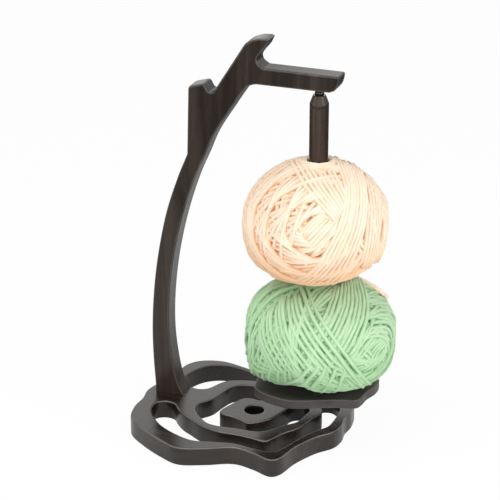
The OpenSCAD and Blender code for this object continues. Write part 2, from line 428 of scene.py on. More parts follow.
SPINDLE_WOOD = WoodFinish("stained_wood_spindle", Lengthwise.ALONG_Z, dark=(0.016, 0.0105, 0.0075),
                          light=(0.046, 0.029, 0.019), smooth=0.19, rough=0.3, specular=0.3, rim_highlight=0.2)
ARM_WOOD = replace(SPINDLE_WOOD, name="stained_wood_arm", dark=(0.014, 0.0105, 0.0085),
                   light=(0.044, 0.032, 0.025))
BOARD_WOOD = WoodFinish("stained_wood_lying", Lengthwise.ALONG_X, dark=(0.006, 0.0045, 0.0035),
                        light=(0.026, 0.017, 0.012), smooth=0.2, rough=0.3, rim_highlight=0.5)
# The tray's stain is lighter than the board's: partly its own tone, partly painted light on its top, which
# the ball above shades
TRAY_WOOD = replace(BOARD_WOOD, name="stained_wood_tray", dark=(0.022, 0.018, 0.017),
                    light=(0.064, 0.05, 0.048), smooth=0.4, rough=0.5, rim_highlight=0.12)
DOWEL_WOOD = WoodFinish("bare_dowel_wood", Lengthwise.ALONG_Z, dark=(0.36, 0.23, 0.11),
                        light=(0.55, 0.39, 0.21), smooth=0.55, rough=0.7)
# Each yarn's crown colour, and the deeper colour of its painted shade
MINT = YarnFinish("mint_yarn", crown=(0.54, 0.75, 0.50), deep=(0.19, 0.40, 0.16))
PEACH = YarnFinish("peach_yarn", crown=(0.91, 0.82, 0.69), deep=(0.79, 0.43, 0.21))
FELT = FeltFinish("black_felt", colour=(0.022, 0.02, 0.018), pale=(0.05, 0.046, 0.042))
SCREW_STEEL = MetalFinish("screw_steel", colour=(0.5, 0.5, 0.49), dull=(0.34, 0.34, 0.33),
                          smooth=0.28, rough=0.45)
# The pivot ball's near-black colour is partly painted shade on the cap's top, under the arm
BALL_STEEL = MetalFinish("ball_steel", colour=(0.055, 0.052, 0.05), dull=(0.035, 0.033, 0.032),
                         smooth=0.16, rough=0.3)
MAGNET_PLATING = MetalFinish("magnet_plating", colour=(0.72, 0.72, 0.73), dull=(0.55, 0.55, 0.56),
                             smooth=0.08, rough=0.2)


# Pieces and their edges


def put_in_scene(name: str, data: bpy.types.ID) -> bpy.types.Object:
    """Add an object to the scene.

    Args:
        name: Name of the object.
        data: Its mesh, curve, light or camera.

    Returns:
        The object.
    """
    made = bpy.data.objects.new(name, data)
    bpy.context.scene.collection.objects.link(made)
    return made


def finished_mesh(name: str, shape: Shape) -> bpy.types.Mesh:
    """Turn a shape into a mesh.

    Args:
        name: Name of the mesh.
        shape: The finished shape, which is freed.

    Returns:
        The mesh.
    """
    mesh = bpy.data.meshes.new(name)
    shape.to_mesh(mesh)
    shape.free()
    return mesh


def make_piece(name: str, shape: Shape, body: str, node: str, slot: str) -> bpy.types.Object:
    """Turn a shape into a piece that rides on a body and stands for a node.

    Args:
        name: Name of the piece.
        shape: The finished shape, which is freed.
        body: Body that carries the piece.
        node: Node that the piece replaces.
        slot: Material slot of the record; not used.

    Returns:
        The piece.
    """
    piece = put_in_scene(name, finished_mesh(name, shape))
    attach(piece, body)
    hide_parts(node)
    LOG.info("made %s with %d faces", name, len(piece.data.polygons))
    return piece


def dress(piece: bpy.types.Object, material: bpy.types.Material) -> None:
    """Give a piece or a node one material.

    Args:
        piece: Object to dress.
        material: Its material.
    """
    piece.data.materials.clear()
    piece.data.materials.append(material)


def node_shape(node: str) -> Shape:
    """Copy a node's mesh with its loose triangles merged.

    Args:
        node: Name of the node.

    Returns:
        The merged shape.
    """
    merge_within = 0.002 * MM
    shape = bmesh.new()
    shape.from_mesh(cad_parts[node].data)
    bmesh.ops.remove_doubles(shape, verts=shape.verts[:], dist=merge_within)
    return shape


def shade(shape: Shape, sharp_deg: float) -> None:
    """Shade a shape smoothly, except over sharp edges.

    Args:
        shape: Shape to shade.
        sharp_deg: Least angle of an edge that stays sharp.
    """
    for face in shape.faces:
        face.smooth = True
    for edge in shape.edges:
        edge.smooth = not edge.is_manifold or edge.calc_face_angle(0.0) < math.radians(sharp_deg)


def full_radius(at: Vector) -> float:
    """Return the share of the radius on a rim that is rounded alike all along."""
    return 1.0


@dataclass(frozen=True)
class RoundedFace:
    """Rounds the rim of a flat face of a board, where it meets upright walls, and stores a painted
    highlight along the rounding.
    """

    outward: Vector
    radius: float
    arc_steps: int = 4
    support: float = 0.25
    thin_share: float = 0.38
    level_within: float = 0.01
    flat_cosine: float = 0.999
    mitre_cosine: float = 0.6
    opposite_cosine: float = -0.2
    evening_rounds: int = 3

    def apply(self, shape: Shape, reach: Callable[[Vector], float] = full_radius) -> None:
        """Replace the outermost flat face along outward by a rounded rim and a new flat face.

        Args:
            shape: Shape to change.
            reach: Share of the radius to use at a point of the rim.
        """
        # The rim's points store a painted highlight for the wood's material
        rim_highlight = shape.verts.layers.float.get(RIM_HIGHLIGHT) or shape.verts.layers.float.new(RIM_HIGHLIGHT)
        bmesh.ops.delete(shape, geom=self.flat_faces(shape), context="FACES")
        rim = [edge for edge in shape.edges if edge.is_boundary]
        inward = self.inward(rim)
        radii = self.radii(rim, inward, reach)
        start = {vert: vert.co.copy() for vert in inward}
        for vert in inward:
            vert.co = start[vert] - self.outward * (radii[vert] + self.support * MM)
        rings = [(*self.on_arc(step / self.arc_steps), 0.0) for step in range(self.arc_steps + 1)]
        rings.append((1.0, 1.0, self.support * MM))
        source = {vert: vert for vert in inward}
        for deep, high, extra in rings:
            rim, source = self.step(shape, rim, source)
            for vert, first in source.items():
                # The painted highlight is 1 half way round the arc and 0 at both of its ends
                vert[rim_highlight] = 2.0 * high * (1.0 - deep)
                vert.co = (start[first] + inward[first] * (deep * radii[first] + extra)
                           - self.outward * (1.0 - high) * radii[first])
        bmesh.ops.triangle_fill(shape, edges=rim, use_beauty=True, normal=self.outward)
        bmesh.ops.recalc_face_normals(shape, faces=shape.faces[:])

    def flat_faces(self, shape: Shape) -> list[bmesh.types.BMFace]:
        """Find the faces of the outermost flat side.

        Args:
            shape: Shape to search.

        Returns:
            The faces.
        """
        level = max(vert.co.dot(self.outward) for vert in shape.verts)
        facing = [face for face in shape.faces if face.normal.dot(self.outward) > self.flat_cosine]
        return [face for face in facing
                if abs(face.calc_center_median().dot(self.outward) - level) < self.level_within * MM]

    def on_arc(self, share: float) -> Point:
        """Return how far in and up a share of the quarter round is, in radii."""
        turn = share * math.pi / 2
        return 1.0 - math.cos(turn), math.sin(turn)

    def step(
        self, shape: Shape, rim: list[Edge], source: dict[Vert, Vert]
    ) -> tuple[list[Edge], dict[Vert, Vert]]:
        """Extrude the rim once.

        Args:
            shape: Shape to change.
            rim: Edges of the open rim.
            source: Vertex of the rim to the vertex that it came from at the start.

        Returns:
            The new rim and its own sources.
        """
        old = {vert.co.copy().freeze(): first for vert, first in source.items()}
        made = bmesh.ops.extrude_edge_only(shape, edges=rim)["geom"]
        verts = [item for item in made if isinstance(item, Vert)]
        edges = [item for item in made if isinstance(item, Edge) and item.is_boundary]
        return edges, {vert: old[vert.co.copy().freeze()] for vert in verts}

    def inward(self, rim: list[Edge]) -> dict[Vert, Vector]:
        """Find the way into the wood at each vertex of the rim.

        Args:
            rim: Edges of the open rim, each with one wall.

        Returns:
            Vertex to a vector that moves both of its edges in by one unit.
        """
        walls: dict[Vert, list[Vector]] = {}
        for edge in rim:
            normal = edge.link_faces[0].normal
            normal = (normal - self.outward * normal.dot(self.outward)).normalized()
            for vert in edge.verts:
                walls.setdefault(vert, []).append(normal)
        ways = {}
        for vert, normals in walls.items():
            middle = (normals[0] + normals[-1]).normalized()
            ways[vert] = -middle / max(self.mitre_cosine, middle.dot(normals[0]))
        return ways

    def radii(
        self, rim: list[Edge], inward: dict[Vert, Vector], reach: Callable[[Vector], float]
    ) -> dict[Vert, float]:
        """Limit the radius where the wood is thin.

        Args:
            rim: Edges of the open rim.
            inward: Way into the wood at each vertex.
            reach: Share of the radius to use at a point.

        Returns:
            Vertex to its radius in metres.
        """
        verts = list(inward)
        places = np.array([vert.co for vert in verts])
        ways = np.array([inward[vert].normalized() for vert in verts])
        found = {}
        for at, vert in enumerate(verts):
            gaps = places - places[at]
            facing = (ways @ ways[at] < self.opposite_cosine) & (gaps @ ways[at] > 0)
            wide = np.min(np.linalg.norm(gaps[facing], axis=1)) if facing.any() else math.inf
            found[vert] = min(self.radius * MM * reach(vert.co), self.thin_share * wide)
        for _ in range(self.evening_rounds):
            nearby = {vert: [found[vert]] for vert in verts}
            for edge in rim:
                first, second = edge.verts
                nearby[first].append(found[second])
                nearby[second].append(found[first])
            found = {vert: min(found[vert], sum(near) / len(near)) for vert, near in nearby.items()}
        return found


BOARD_SHARP_DEG = 38.0
UP = Vector((0, 0, 1))
FRONT = Vector((0, -1, 0))


def rounded_plate(node: str, over: float, under: float) -> Shape:
    """Copy a lying board and round its edges.

    Args:
        node: Name of the board's node.
        over: Radius of the upper edges in millimetres.
        under: Radius of the lower edges in millimetres.

    Returns:
        The rounded shape.
    """
    shape = node_shape(node)
    RoundedFace(UP, over).apply(shape)
    RoundedFace(-UP, under).apply(shape)
    shade(shape, BOARD_SHARP_DEG)
    return shape


def soften_ring(shape: Shape, axis: Vector, radius: float, level: float, width: float) -> None:
    """Bevel a circle of a turned piece.

    Args:
        shape: Shape to change.
        axis: A point on the turned piece's axis.
        radius: Radius of the circle in millimetres.
        level: Height of the circle in metres.
        width: Width of the bevel in millimetres.
    """
    within = 0.02 * MM
    ring = [edge for edge in shape.edges
            if all(abs((vert.co - axis).xy.length - radius * MM) < within for vert in edge.verts)
            and all(abs(vert.co.z - level) < within for vert in edge.verts)]
    bmesh.ops.bevel(shape, geom=ring, offset=width * MM, offset_type="OFFSET", segments=3, profile=0.5,
                    affect="EDGES", material=-1, clamp_overlap=True)


@dataclass
class Stand:
    """The rose-shaped board, its felt pads, and the branch-shaped arm."""

    board_round: float = 0.9
    board_under_round: float = 0.4
    arm_round: float = 1.2
    foot_fade: float = 4.0
    foot_share: float = 0.1
    body: str = "stand"

    def build(self) -> None:
        """Build and dress the board and the arm, and dress the hardware."""
        self.board()
        self.arm()
        finishes = {"felt_pads": FELT, "foot_dowels": DOWEL_WOOD, "foot_screw": SCREW_STEEL,
                    "bar_magnet": MAGNET_PLATING}
        for node, finish in finishes.items():
            dress(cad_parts[node], finish.material())

    def board(self) -> None:
        """Build the board with rounded upper and lower edges."""
        shape = rounded_plate("base_board", self.board_round, self.board_under_round)
        piece = make_piece("rose_board", shape, self.body, "base_board", "stained_wood")
        dress(piece, BOARD_WOOD.material())

    def arm(self) -> None:
        """Build the arm with rounded front and back edges, which fade out at the foot."""
        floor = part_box("arm")[0].z

        def fading(at: Vector) -> float:
            """Return the share of the radius at a point."""
            height = min(1.0, (at.z - floor) / (self.foot_fade * MM))
            return self.foot_share + (1.0 - self.foot_share) * height

        shape = node_shape("arm")
        for outward in (FRONT, -FRONT):
            RoundedFace(outward, self.arm_round).apply(shape, fading)
        shade(shape, BOARD_SHARP_DEG)
        piece = make_piece("branch_arm", shape, self.body, "arm", "stained_wood")
        dress(piece, ARM_WOOD.material())


@dataclass
class Spindle:
    """The hanging spindle: ball, cup, cap, shaft and tray."""

    tray_round: float = 0.9
    tray_under_round: float = 0.8
    joint_width: float = 0.2
    sharp_deg: float = 30.0

    def build(self) -> None:
        """Build and dress the spindle's pieces."""
        wood = SPINDLE_WOOD.material()
        steel = SCREW_STEEL.material()
        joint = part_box("spindle_cap")[0].z
        shaft_top = max(v.co.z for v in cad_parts["spindle_shaft"].data.vertices if v.co.z < joint)
        self.turned("turned_cap", "spindle_cap", "cap", wood, joint)
        self.turned("turned_shaft", "spindle_shaft", "spindle", wood, shaft_top)
        self.tray()
        dress(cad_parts["pivot_ball"], BALL_STEEL.material())
        dress(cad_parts["ball_cup"], steel)
        dress(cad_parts["tray_screw"], steel)

    def turned(self, name: str, node: str, body: str, wood: bpy.types.Material, level: float) -> None:
        """Build a turned piece with its edge at the joint softened.

        Args:
            name: Name of the piece.
            node: Node that it replaces.
            body: Body that carries it.
            wood: Its material.
            level: Height of the edge in metres.
        """
        shape = node_shape(node)
        low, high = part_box("spindle_shaft")
        soften_ring(shape, (low + high) / 2, (high.x - low.x) / 2 / MM, level, self.joint_width)
        shade(shape, self.sharp_deg)
        dress(make_piece(name, shape, body, node, "stained_wood"), wood)

    def tray(self) -> None:
        """Build the tray with rounded upper and lower edges."""
        shape = rounded_plate("tray", self.tray_round, self.tray_under_round)
        piece = make_piece("petal_tray", shape, "spindle", "tray", "stained_wood")
        dress(piece, TRAY_WOOD.material())


# Yarn


@dataclass(frozen=True)
class Face:
    """The side of a ball that its windings are drawn on, turned right of the front and up."""

    azimuth: float = 20.0
    elevation: float = 23.0

    def axes(self) -> tuple[Array, Array, Array]:
        """Work out the face's directions.

        Returns:
            Its right, up and outward directions.
        """
        turn, lift = math.radians(self.azimuth), math.radians(self.elevation)
        right = np.array([math.cos(turn), math.sin(turn), 0.0])
        out = np.array([math.sin(turn) * math.cos(lift), -math.cos(turn) * math.cos(lift), math.sin(lift)])
        return right, np.cross(out, right), out

    def point(self, x: float, y: float) -> Array:
        """Find a point of the face.

        Args:
            x: Radii to the right of the face's middle.
            y: Radii up from the face's middle.

        Returns:
            The point's direction from the ball's middle.
        """
        right, up, out = self.axes()
        reach = max(1.0, math.hypot(x, y))
        return (right * x + up * y) / reach + out * math.sqrt(max(0.0, 1.0 - x * x - y * y))


@dataclass(frozen=True)
class Turn:
    """One turn of yarn as directions from the ball's middle, whole or with two ends."""

    ways: Array
    is_whole: bool


@dataclass(frozen=True)
class Strand:
    """One strand of yarn as points in metres, a whole turn or with two ends."""

    points: Array
    is_whole: bool


# Points that a whole turn is laid with, how many it takes for each that its mesh keeps, and the fewest
STEPS = 216
KEPT = 3
LEAST_STEPS = 12
HALF_TURN = 180.0


def unit(ways: Array) -> Array:
    """Scale directions to length 1."""
    return ways / np.linalg.norm(ways, axis=-1, keepdims=True)


def circle(near: Array, ahead: Array, reach: float) -> Turn:
    """Lay a turn on a great circle.

    Args:
        near: Direction of the turn's middle.
        ahead: Direction that it runs in there.
        reach: Angle that the turn runs each way, in degrees; half a turn closes it.

    Returns:
        The turn.
    """
    is_whole = reach >= HALF_TURN
    count = round(STEPS * reach / HALF_TURN)
    angles = np.linspace(-math.radians(reach), math.radians(reach), count, endpoint=not is_whole)[:, None]
    return Turn(np.cos(angles) * near + np.sin(angles) * ahead, is_whole)


@dataclass(frozen=True)
class Rosette:
    """Turns that each pass an eye of the ball at the same distance, all round it."""

    eye: Point
    miss: float
    count: int
    reach: float = HALF_TURN
    start: float = 0.0
    load: float = 0.55
    uneven_start: float = 0.8
    uneven_miss: float = 1.2

    def turns(self, face: Face, rng: np.random.Generator) -> Iterator[Turn]:
        """Yield the rosette's turns, and where they aren't whole, those of the far eye too.

        Args:
            face: Face that the eye is on.
            rng: Source of the small unevenness.

        Yields:
            Each turn, in the order of winding.
        """
        eye = face.point(*self.eye)
        first = unit(np.cross(eye, face.axes()[1]))
        second = np.cross(eye, first)
        for number in range(self.count):
            angle = self.start + 360.0 * number / self.count + rng.normal(0.0, self.uneven_start)
            angle = math.radians(angle)
            miss = math.radians(self.miss + rng.normal(0.0, self.uneven_miss))
            away = math.cos(angle) * first + math.sin(angle) * second
            along = np.cross(eye, away)
            near = math.cos(miss) * eye + math.sin(miss) * away
            yield circle(near, along, self.reach)
            if self.reach < HALF_TURN:
                yield circle(-near, along, self.reach)


@dataclass(frozen=True)
class Sheaf:
    """Strands side by side between two that are drawn on the face, each by points in radii right and up."""

    first: tuple[Point, ...]
    last: tuple[Point, ...]
    count: int
    run_on: Point = (0.0, 0.0)
    load: float = 1.2
    uneven_gaps: float = 0.12
    stagger: float = 0.8

    def turns(self, face: Face, rng: np.random.Generator) -> Iterator[Turn]:
        """Yield the sheaf's strands, whose ends are staggered where they run on.

        Args:
            face: Face that the sheaf is drawn on.
            rng: Source of the small unevenness.

        Yields:
            Each strand, from the first to the last.
        """
        edges = [drawn(face, points, self.run_on) for points in (self.first, self.last)]
        count = min(len(edge) for edge in edges)
        edges = [spaced(edge, count) for edge in edges]
        length = np.degrees(run_length(edges[0]))
        for share in np.linspace(0.0, 1.0, self.count):
            share += rng.normal(0.0, self.uneven_gaps / self.count)
            ways = unit(edges[0] * (1.0 - share) + edges[1] * share)
            start, stop = (
                int(count * angle / length * rng.uniform(0.0, self.stagger)) for angle in self.run_on
            )
            ways = ways[start:count - stop]
            yield Turn(spaced(ways, arc_count(ways)), False)


def run_length(ways: Array) -> float:
    """Return the length of a run of directions, in radians."""
    return np.linalg.norm(np.diff(ways, axis=0), axis=1).sum()


def arc_count(ways: Array) -> int:
    """Return how many points a run of directions needs."""
    return max(LEAST_STEPS, round(run_length(ways) / math.tau * STEPS))


def spaced(ways: Array, count: int) -> Array:
    """Space directions evenly along their run.

    Args:
        ways: Directions in order.
        count: How many to return.

    Returns:
        The evenly spaced directions.
    """
    run = np.concatenate([[0.0], np.cumsum(np.linalg.norm(np.diff(ways, axis=0), axis=1))])
    at = np.linspace(0.0, run[-1], count)
    return unit(np.stack([np.interp(at, run, ways[:, axis]) for axis in range(3)], axis=1))


def drawn(face: Face, points: tuple[Point, ...], run_on: Point) -> Array:
    """Put a drawn line on a ball, with its corners rounded.

    Args:
        face: Face that it is drawn on.
        points: Its points in radii right and up.
        run_on: Angles that it runs on over the ball before and behind its points, in degrees.

    Returns:
        Evenly spaced directions.
    """
    corner_cuts = 4
    near, far = 0.75, 0.25
    run_step = 2.0
    line = np.array(points)
    for _ in range(corner_cuts):
        cut = np.stack([near * line[:-1] + far * line[1:], far * line[:-1] + near * line[1:]], axis=1)
        line = np.concatenate([line[:1], cut.reshape(-1, 2), line[-1:]])
    ways = np.array([face.point(*point) for point in line])
    parts = [ways]
    for angle, end, inner, order in ((run_on[0], ways[0], ways[2], -1), (run_on[1], ways[-1], ways[-3], 1)):
        if angle > 0.0:
            ahead = unit((end - inner) - end * (end - inner).dot(end))
            bends = np.radians(np.arange(run_step, angle + run_step / 2, run_step))[::order, None]
            more = np.cos(bends) * end + np.sin(bends) * ahead
            parts = [more, *parts] if order < 0 else [*parts, more]
    ways = np.concatenate(parts)
    return spaced(ways, arc_count(ways))


class WoundSurface:
    """How high the yarn stands over a ball's core so far, on points spread over the ball."""

    def __init__(self, points: int, radius: float) -> None:
        """Spread the points evenly, on a spiral.

        Args:
            points: How many points.
            radius: Mean radius of the ball in millimetres.
        """
        number = np.arange(points) + 0.5
        height = 1.0 - 2.0 * number / points
        turn = math.pi * (1.0 + math.sqrt(5.0)) * number
        flat = np.sqrt(1.0 - height * height)
        ways = np.stack([flat * np.cos(turn), flat * np.sin(turn), height], axis=1)
        self.radius = radius
        self.heights = np.zeros(points)
        self.tree = kdtree.KDTree(points)
        for index, way in enumerate(ways):
            self.tree.insert(way, index)
        self.tree.balance()

    def lay(self, turn: Turn, yarn: "Yarn", load: float) -> Array:
        """Lay a turn over what is there.

        Args:
            turn: Turn to lay.
            yarn: Yarn that it is laid with.
            load: Height that the turn adds over its middle, in radii of the yarn.

        Returns:
            Height of what lies under the turn at each of its points, in millimetres.
        """
        near = [self.tree.find_range(way, yarn.radius / self.radius) for way in turn.ways]
        heights = [[self.heights[index] for _, index, _ in found] for found in near]
        under = np.array([max(high, default=0.0) for high in heights])
        weights = np.hanning(2 * yarn.slack + 3)[1:-1]
        mode = "wrap" if turn.is_whole else "edge"
        rest = np.convolve(np.pad(under, yarn.slack, mode=mode), weights / weights.sum(), "valid")
        for found, base in zip(near, rest):
            for _, index, chord in found:
                crown = math.sqrt(max(0.0, 1.0 - (chord * self.radius / yarn.radius) ** 2))
                self.heights[index] = max(self.heights[index], base + load * yarn.radius * crown)
        return rest


@dataclass(frozen=True)
class Yarn:
    """The yarn: its section and its twist for each point, and how it bends, piles up and ends."""

    radius: float = 1.7
    ply_crown: float = 1.05
    ply_groove: float = 0.86
    twist: float = 26.0
    slack: int = 6
    pile: float = 7.0
    end_dive: float = 4.5
    end_steps: float = 8.0

    def rises(self, rest: Array, is_whole: bool) -> Array:
        """Work out how high a turn lies over the core, where high piles press flat and ends dive.

        Args:
            rest: Height of what lies under the turn, in millimetres.
            is_whole: Whether the turn has no ends.

        Returns:
            Height of the turn's underside at each of its points, in millimetres.
        """
        rise = self.pile * (1.0 - np.exp(-rest / self.pile))
        if not is_whole:
            from_start = np.arange(len(rise))
            from_end = np.minimum(from_start, from_start[::-1])
            rise -= self.end_dive * np.clip(1.0 - from_end / self.end_steps, 0.0, 1.0)
        return rise


@dataclass(frozen=True)
class Passing:
    """How strands pass the shaft: with some play, and from how near and along what length, in radii."""

    play: float = 0.6
    near: float = 2.0
    length: float = 1.6
    power: int = 4

    def shifts(self, flat: Array, bore_r: float) -> Array:
        """Find how to lead a strand past the shaft, on the side that it comes nearest to.

        Args:
            flat: The strand's points from the shaft's axis, seen from above, in millimetres.
            bore_r: Least distance from the axis in millimetres.

        Returns:
            How far each point moves.
        """
        ahead = unit(np.gradient(flat, axis=0))
        aside = np.c_[-ahead[:, 1], ahead[:, 0]]
        along, across = (flat * ahead).sum(axis=1), (flat * aside).sum(axis=1)
        reach = np.linalg.norm(flat, axis=1)
        side = np.where(across < 0.0, -1.0, 1.0)
        close = np.flatnonzero(reach < self.near * bore_r)
        for passing in np.split(close, np.flatnonzero(np.diff(close) > 1) + 1):
            if len(passing):
                side[passing] = side[passing[np.argmin(reach[passing])]]
        clear = bore_r * np.sqrt(np.clip(1.0 - (along / (self.length * bore_r)) ** 2, 0.0, 1.0))
        shift = side * (across ** self.power + clear ** self.power) ** (1.0 / self.power) - across
        return aside * shift[:, None]


@dataclass(frozen=True)
class CoreSize:
    """The core's depth under the ball's outside, how far it rises from there, and how fine it is."""

    depth: float = 8.2
    rise: float = 4.2
    slopes: int = 25
    sides: int = 48
    sharp_deg: float = 60.0


@dataclass(frozen=True)
class Fullness:
    """How full a ball's section is, as the power of its curve, where 2 is round."""

    middle: float
    right: float = 0.0
    left: float = 0.0
    left_power: int = 6

    def powers(self, aside: Array) -> Array:
        """Return the powers for places between -1 at the far left and 1 at the far right."""
        return self.middle + self.right * aside + self.left * np.maximum(0.0, -aside) ** self.left_power


@dataclass(frozen=True)
class PaintedShade:
    """Painted shade of a ball's points, from 1 on the open crowns to 0 in the deep places that take the
    deeper colour, and darker on the flanks and towards the bottom.
    """

    # Share of painted shade at the very bottom of the ball, and how it grows towards there
    under: float = 0.6
    under_power: float = 1.2
    depth_power: float = 0.5
    flank: float = 0.1
    # Points lying loose above the ball get a fixed painted shade, and the core is darkened
    loose_height: float = 3.0
    loose: float = 0.8
    core: float = 0.3

    def shares(self, depth: Array, crown: Array, under: Array) -> Array:
        """Work out the painted shade of points, darker where they lie deep, face aside or sit low.

        Args:
            depth: How deep each point lies under the ball's outside, as a share of the depth of the core.
            crown: How far each point faces outwards, from 0 to 1.
            under: How far each point is towards the ball's bottom, from 0 to 1.

        Returns:
            The points' shares.
        """
        open_share = np.clip(1.0 - depth, 0.0, 1.0) ** self.depth_power
        facing_share = self.flank + (1.0 - self.flank) * crown ** 2
        return open_share * facing_share * (1.0 - self.under * under ** self.under_power)


@dataclass
class YarnBall:
    """A ball of yarn on the shaft, wound over a core."""

    name: str
    node: str
    body: str
    slot: str
    finish: YarnFinish
    windings: list[Rosette | Sheaf]
    over_full: Fullness = Fullness(2.0, left=-0.1)
    under_full: Fullness = Fullness(2.4, left=0.4)
    left_lift: float = 0.0
    swell: float = 1.6
    rise: float = 0.0
    aside: float = 0.0
    seed: int = 3
    tail: Strand | None = None
    tail_lift: float = 7.0
    surface_points: int = 16000
    yarn: Yarn = Yarn()
    passing: Passing = Passing()
    core_size: CoreSize = CoreSize()
    # Painted shade of the points
    lay: PaintedShade = PaintedShade()
    face: Face = Face()

    def __post_init__(self) -> None:
        """Take the ball's place and size from its node."""
        low, high = (np.array(corner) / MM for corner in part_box(self.node))
        shaft_low, shaft_high = (np.array(corner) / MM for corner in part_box("spindle_shaft"))
        self.middle = (low + high) / 2 + (0.0, 0.0, self.rise) + self.aside * self.face.axes()[0]
        self.half = (high - low) / 2 + (self.swell, self.swell, self.rise)
        self.off = (self.middle - (shaft_low + shaft_high) / 2)[:2]
        self.bore_r = (shaft_high[0] - shaft_low[0]) / 2 + self.yarn.radius + self.passing.play

    def build(self) -> None:
        """Wind the ball, make its mesh and dress it."""
        strands = self.wind()
        if self.tail is not None:
            strands.append(self.tail)
        piece = make_piece(self.name, self.core(), self.body, self.node, self.slot)
        core_points = len(piece.data.vertices)
        self.add_strands(piece, strands)
        self.paint_lay_shade(piece, core_points)
        dress(piece, self.finish.material())
        LOG.info("wound %s with %d strands, %d faces", self.name, len(strands), len(piece.data.polygons))

    def outside(self, ways: Array, depth: Array | float) -> Array:
        """Put directions on the ball.

        Args:
            ways: Directions from the ball's middle, as on a round ball.
            depth: How far under the ball's outside each point lies, in millimetres.

        Returns:
            Points in millimetres, from the ball's middle.
        """
        flat = np.linalg.norm(ways[:, :2], axis=1)
        aside = ways @ self.face.axes()[0] / np.maximum(flat, 0.001)
        power = np.where(ways[:, 2] < 0.0, self.under_full.powers(aside), self.over_full.powers(aside))
        size = (flat ** power + np.abs(ways[:, 2]) ** power) ** (-1.0 / power)
        points = ways * self.half * size[:, None]
        corner = np.clip(-aside * flat * size, 0.0, 1.0) * np.clip(-ways[:, 2] * size, 0.0, 1.0) ** 2
        points[:, 2] += self.left_lift * corner
        reach = np.linalg.norm(points, axis=1)
        return points * ((reach - depth) / reach)[:, None]

    def wind(self) -> list[Strand]:
        """Lay all the windings in order.

        Returns:
            The strands.
        """
        rng = np.random.default_rng(self.seed)
        wound = WoundSurface(self.surface_points, self.half.mean())
        strands = []
        for winding in self.windings:
            for turn in winding.turns(self.face, rng):
                rise = self.yarn.rises(wound.lay(turn, self.yarn, winding.load), turn.is_whole)
                points = self.outside(turn.ways, self.core_size.depth - rise - self.yarn.radius)
                points[:, :2] += self.passing.shifts(points[:, :2] + self.off, self.bore_r)
                strands.append(Strand((points + self.middle)[::KEPT] * MM, turn.is_whole))
        return strands

    def laid_over(self, points: tuple[Point, ...]) -> Strand:
        """Lay a loose end of the ball above on this finished ball.

        Args:
            points: Points of the face in radii right and up. The first is raised into the ball above.

        Returns:
            The loose end.
        """
        ways = drawn(self.face, points, (0.0, 0.0))
        laid = (self.outside(ways, 0.0) + self.middle)[::KEPT]
        return Strand(np.concatenate([laid[:1] + (0.0, 0.0, self.tail_lift), laid[1:]]) * MM, False)

    def core(self) -> Shape:
        """Build the core round the shaft, under the windings.

        Returns:
            The core's shape.
        """
        shape = bmesh.new()
        slopes = np.linspace(-math.pi / 2, math.pi / 2, self.core_size.slopes)
        bore_r = self.bore_r + np.linalg.norm(self.off)
        loops = []
        for angle in np.linspace(0.0, math.tau, self.core_size.sides, endpoint=False):
            aside = np.array((math.cos(angle), math.sin(angle)))
            ways = np.c_[np.cos(slopes)[:, None] * aside, np.sin(slopes)]
            points = self.outside(ways, self.core_size.depth - self.core_size.rise)
            points[:, :2] = np.maximum(points[:, :2] @ aside, bore_r)[:, None] * aside
            verts = [shape.verts.new(point) for point in (points + self.middle) * MM]
            loops.append([shape.edges.new(pair) for pair in zip(verts, [*verts[1:], verts[0]])])
        for pair in zip(loops, [*loops[1:], loops[0]]):
            bmesh.ops.bridge_loops(shape, edges=[*pair[0], *pair[1]])
        bmesh.ops.recalc_face_normals(shape, faces=shape.faces[:])
        shade(shape, self.core_size.sharp_deg)
        return shape

    def add_strands(self, piece: bpy.types.Object, strands: list[Strand]) -> None:
        """Sweep a plied section along the strands and join them to the core.

        Args:
            piece: The core's piece.
            strands: The strands.
        """
        curve = bpy.data.curves.new(self.name, "CURVE")
        curve.dimensions = "3D"
        curve.bevel_mode = "OBJECT"
        curve.bevel_object = self.section()
        curve.use_fill_caps = True
        for strand in strands:
            count = len(strand.points)
            # A whole number of quarter turns lets the plies of a closed strand meet
            quarters = round(count * self.yarn.twist / 90.0)
            spline = curve.splines.new("POLY")
            spline.points.add(count - 1)
            spline.points.foreach_set("co", np.c_[strand.points, np.ones(count)].ravel())
            spline.points.foreach_set("tilt", np.arange(count) * math.tau * quarters / 4 / count)
            spline.use_cyclic_u = strand.is_whole
            spline.use_smooth = True
        sweep = put_in_scene(self.name + "_sweep", curve)
        swept = bpy.data.meshes.new_from_object(sweep.evaluated_get(bpy.context.evaluated_depsgraph_get()))
        for used in (curve.bevel_object, sweep):
            bpy.data.curves.remove(used.data)
        swept.uv_layers[0].name = YARN_MAP
        joined = bmesh.new()
        joined.from_mesh(swept)
        for face in joined.faces:
            face.smooth = True
        joined.from_mesh(piece.data)
        joined.to_mesh(piece.data)
        joined.free()
        bpy.data.meshes.remove(swept)

    def section(self) -> bpy.types.Object:
        """Draw the yarn's section, with a lobe for each ply.

        Returns:
            A closed curve.
        """
        curve = bpy.data.curves.new(self.name + "_section", "CURVE")
        spline = curve.splines.new("POLY")
        sides = 2 * self.finish.plies
        spline.points.add(sides - 1)
        for number, point in enumerate(spline.points):
            angle = -math.tau * number / sides
            share = self.yarn.ply_crown if number % 2 == 0 else self.yarn.ply_groove
            reach = self.yarn.radius * MM * share
            point.co = (reach * math.cos(angle), reach * math.sin(angle), 0.0, 1.0)
        spline.use_cyclic_u = True
        return put_in_scene(self.name + "_section", curve)

